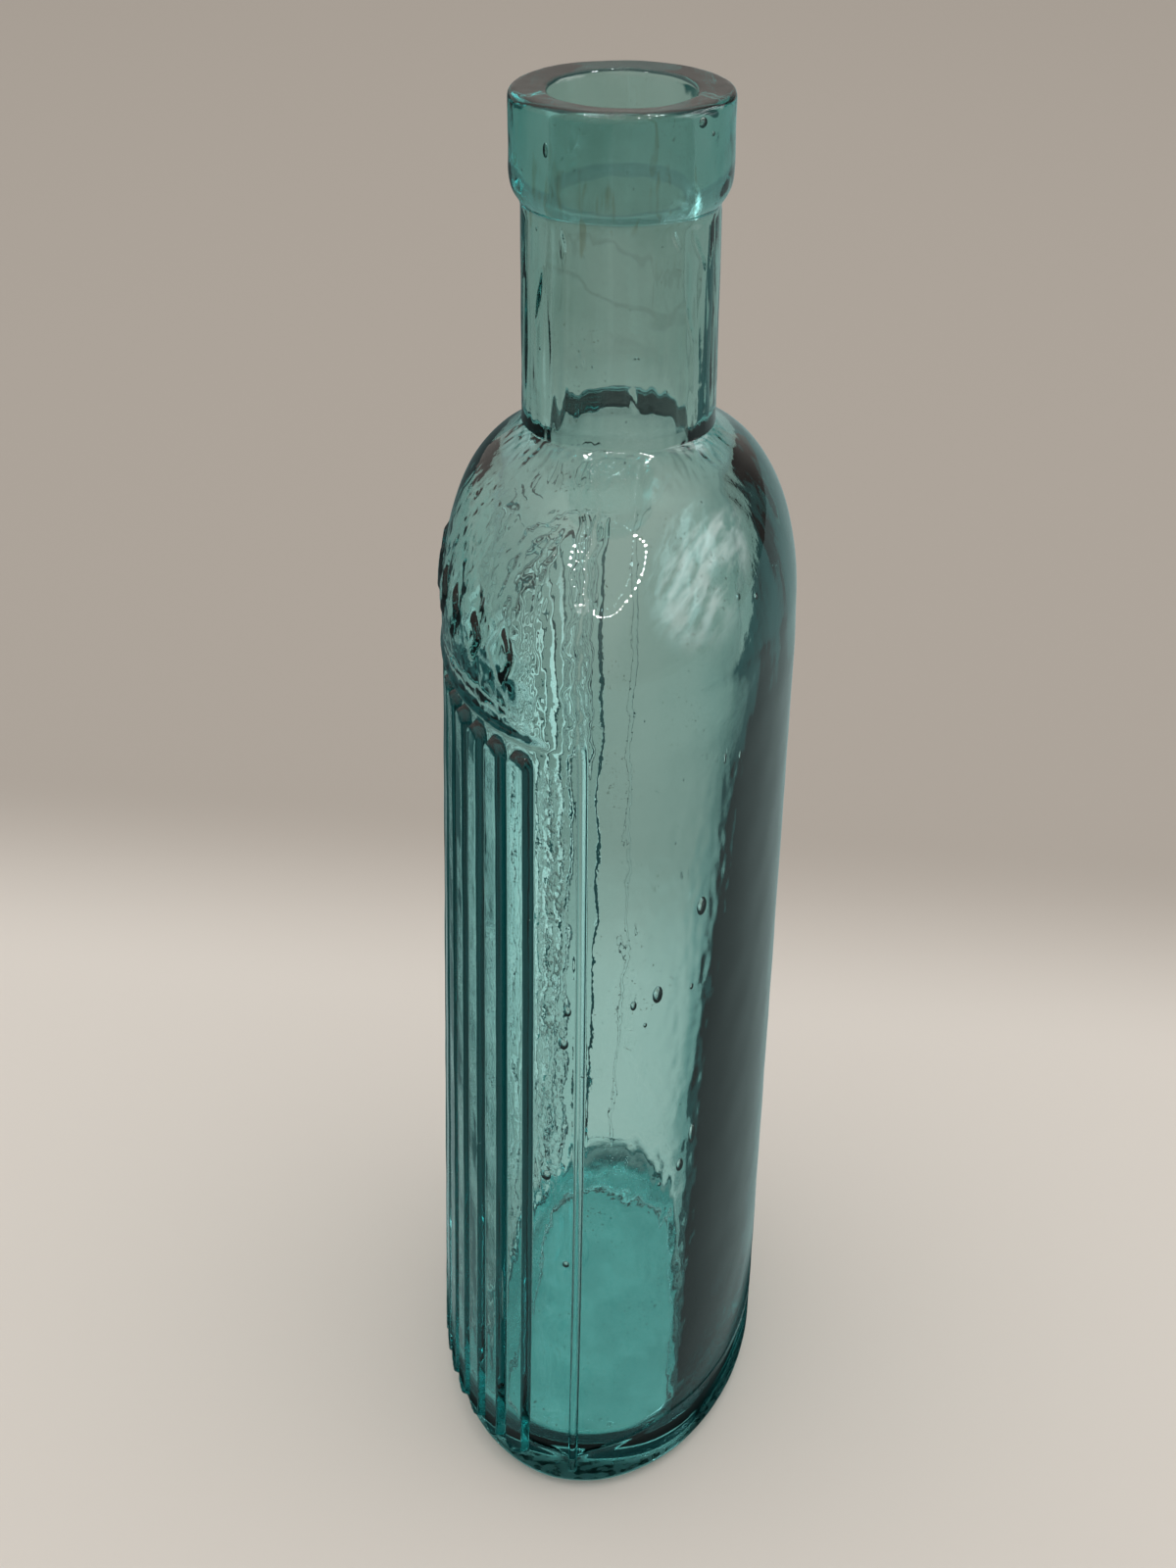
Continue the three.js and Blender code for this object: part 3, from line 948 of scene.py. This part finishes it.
def painted_reflection_floor(tree, y, reach):
    """Painted reflection of the floor for rays that the glass mirrors: lit, with painted shade towards the
    front's side and a painted dark shadow close round the bottle's foot.
    """
    mirrored = mix_colour(tree, ranged(tree, y, -0.05, -0.09), *PAINTED_REFLECTION_TONES)
    return mix_colour(tree, ranged(tree, reach, 1.35, 1.1), mirrored, PAINTED_REFLECTION_FOOT_SHADOW)


def floor_material():
    """Pale paper with painted shade, darker far behind the bottle than near it. For rays from the glass the
    floor glows with painted light instead, so the glass shows no shadow of its own on it."""
    material, tree = new_material("pale_floor")
    paper = tree.nodes["Principled BSDF"]
    paper.inputs["Roughness"].default_value = 0.85
    place, x, y = coordinates(tree, "Object")[:3]
    # Painted shade: the paper, and the floor's glow through the glass, darken far behind the bottle
    far = ranged(tree, x, -0.075, -0.145)
    tree.links.new(mix_colour(tree, far, *PAPER_LIT_AND_SHADED_TONES), paper.inputs["Base Color"])

    path = tree.nodes.new("ShaderNodeLightPath").outputs
    reach = reach_from(tree, place, *BASE_OVAL)
    open_floor = ranged(tree, reach, 0.98, 1.1)
    # Painted shade for leaked and inner-reflected rays
    leak_shade = mix_colour(tree, open_floor, LEAK_SHADE_UNDER_BASE, LEAK_SHADE_IN_OPEN)
    lit = painted_light_floor(tree, place, x, y, far, open_floor)
    seen = mix_colour(tree, painted_shade_floor(tree, place, path), lit, leak_shade)
    seen = mix_colour(tree, path["Is Reflection Ray"], seen, painted_reflection_floor(tree, y, reach))
    # The floor glows with painted light for rays from the glass
    glow = tree.nodes.new("ShaderNodeEmission")
    tree.links.new(seen, glow.inputs["Color"])

    mix = tree.nodes.new("ShaderNodeMixShader")
    in_glass = larger(tree, path["Is Reflection Ray"], path["Is Transmission Ray"])
    tree.links.new(in_glass, mix.inputs["Fac"])
    tree.links.new(paper.outputs["BSDF"], mix.inputs[1])
    tree.links.new(glow.outputs["Emission"], mix.inputs[2])
    tree.links.new(mix.outputs["Shader"], tree.nodes["Material Output"].inputs["Surface"])
    return material


def make_floor():
    """A sheet just under the bottle, so that the base's faces don't lie in it."""
    side = 3.0
    level = -0.0002
    mesh = bpy.data.meshes.new("floor")
    corners = [(-side, -side, level), (side, -side, level), (side, side, level), (-side, side, level)]
    mesh.from_pydata(corners, [], [(0, 1, 2, 3)])
    floor = bpy.data.objects.new("floor", mesh)
    bpy.context.collection.objects.link(floor)
    mesh.materials.append(floor_material())


def make_world():
    """A plain studio, brighter overhead, whose mirror image in the glass is dimmer on the back's side."""
    world = bpy.data.worlds.new("studio")
    world.use_nodes = True
    bpy.context.scene.world = world
    tree = world.node_tree
    y, z = coordinates(tree, "Generated")[2:]
    rise = ranged(tree, z, 0.0, 0.9, 0.35, 0.85)
    path = tree.nodes.new("ShaderNodeLightPath").outputs
    mirrored = times(tree, path["Is Reflection Ray"], path["Is Glossy Ray"])
    shade = ranged(tree, times(tree, ranged(tree, y, 0.15, 0.6), mirrored), 0.0, 1.0, 1.0, 0.35)
    tree.nodes["Background"].inputs["Color"].default_value = (1.0, 0.95, 0.87, 1)
    tree.links.new(times(tree, rise, shade), tree.nodes["Background"].inputs["Strength"])


def make_light():
    """Soft light from overhead: one lamp gives the shadow and one fills it."""
    for name, energy, shadow in (("softbox", 3.0, True), ("fill", 5.0, False)):
        lamp = bpy.data.lights.new(name, "AREA")
        lamp.shape = "SQUARE"
        lamp.size = 1.4
        lamp.energy = energy
        lamp.use_shadow = shadow
        lamp_object = bpy.data.objects.new(name, lamp)
        lamp_object.location = (0.0, 0.1, 1.3)
        lamp_object.visible_glossy = False
        lamp_object.visible_transmission = False
        bpy.context.collection.objects.link(lamp_object)


def streaky_patch(tree):
    """A round patch that fades to the edge of its card, broken by streaks."""
    place = coordinates(tree, "Object")[0]
    ball = tree.nodes.new("ShaderNodeTexGradient")
    ball.gradient_type = "SPHERICAL"
    tree.links.new(place, ball.inputs["Vector"])
    streaks = ranged(tree, noise_value(tree, place, 2.2, 3, (1, 1.7, 1)), 0.36, 0.62)
    return times(tree, ranged(tree, ball.outputs["Fac"], 0.0, 0.5), streaks)


def highlight_material(name, strength, streaky):
    """Light that only the glass shows, not the floor: it counts for paths without a diffuse bounce. What lies
    behind it shows through."""
    material, tree = new_material(name)
    tree.nodes.remove(tree.nodes["Principled BSDF"])
    path = tree.nodes.new("ShaderNodeLightPath").outputs
    power = tree.nodes.new("ShaderNodeMapRange")
    power.inputs["To Min"].default_value = strength
    power.inputs["To Max"].default_value = 0.0
    tree.links.new(path["Diffuse Depth"], power.inputs["Value"])
    level = power.outputs["Result"]
    if streaky:
        level = times(tree, streaky_patch(tree), level)
    shine = tree.nodes.new("ShaderNodeEmission")
    tree.links.new(level, shine.inputs["Strength"])
    clear = tree.nodes.new("ShaderNodeBsdfTransparent")
    both = tree.nodes.new("ShaderNodeAddShader")
    tree.links.new(clear.outputs["BSDF"], both.inputs[0])
    tree.links.new(shine.outputs["Emission"], both.inputs[1])
    tree.links.new(both.outputs["Shader"], tree.nodes["Material Output"].inputs["Surface"])
    return material


def highlight_lamp(name, points, faces, material):
    mesh = bpy.data.meshes.new(name)
    mesh.from_pydata(points, [], faces)
    mesh.materials.append(material)
    lamp = bpy.data.objects.new(name, mesh)
    lamp.visible_camera = False
    lamp.visible_shadow = False
    lamp.visible_diffuse = False
    bpy.context.collection.objects.link(lamp)
    return lamp


def make_ring():
    """A ring of small lamps overhead, which sparkles in the shoulder."""
    middle = np.array([160.0, 20.0, 732.0])
    reach = np.array([340.0, 240.0])
    count = 44
    sides = 8
    radius = 8.0
    side = np.arange(sides) * 2 * math.pi / sides
    disc = radius * np.stack([np.sin(side), np.cos(side), 0 * side], axis=-1)
    turns = np.arange(count) * 2 * math.pi / count
    spots = [middle + np.append(reach * (math.cos(turn), math.sin(turn)), 0) for turn in turns]
    points = np.concatenate([spot + disc for spot in spots]) * MM
    faces = np.arange(count * sides).reshape(count, sides).tolist()
    ring = highlight_lamp("lamp_ring", points, faces, highlight_material("ring_lamps", 120.0, False))


def make_window():
    """A soft light at the side, which lies as a pale patch on the shoulder."""
    corners = [(-1, -1, 0), (1, -1, 0), (1, 1, 0), (-1, 1, 0)]
    window = highlight_lamp("window", corners, [(0, 1, 2, 3)], highlight_material("window_light", 3.6, True))
    window.location = (-0.12, 0.6, 0.55)
    window.rotation_euler = (math.radians(90), 0, 0)
    window.scale = (0.5, 0.54, 1)


def make_camera():
    """The photograph's view: its place, the point it looks at, its roll and its lens."""
    place = Vector((285.12, 23.77, 250.4)) * MM
    aim = Vector((0.0, -3.684, 88.961)) * MM
    roll = math.radians(1.539)
    camera = bpy.data.cameras.new("photo_view")
    camera.lens = 57.6
    camera.sensor_width = 36.0
    camera.clip_start = 0.01
    view = bpy.data.objects.new("photo_view", camera)
    turn = (aim - place).to_track_quat("-Z", "Y").to_matrix() @ Matrix.Rotation(roll, 3, "Z")
    view.matrix_world = Matrix.Translation(place) @ turn.to_4x4()
    bpy.context.collection.objects.link(view)
    bpy.context.scene.camera = view


glass = make_glass()
glass.data.materials.append(glass_material())
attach(glass, "root")
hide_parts("blown_body", "applied_lip")
make_floor()
make_world()
make_light()
make_ring()
make_window()
make_camera()
bpy.context.scene.view_settings.view_transform = "Standard"
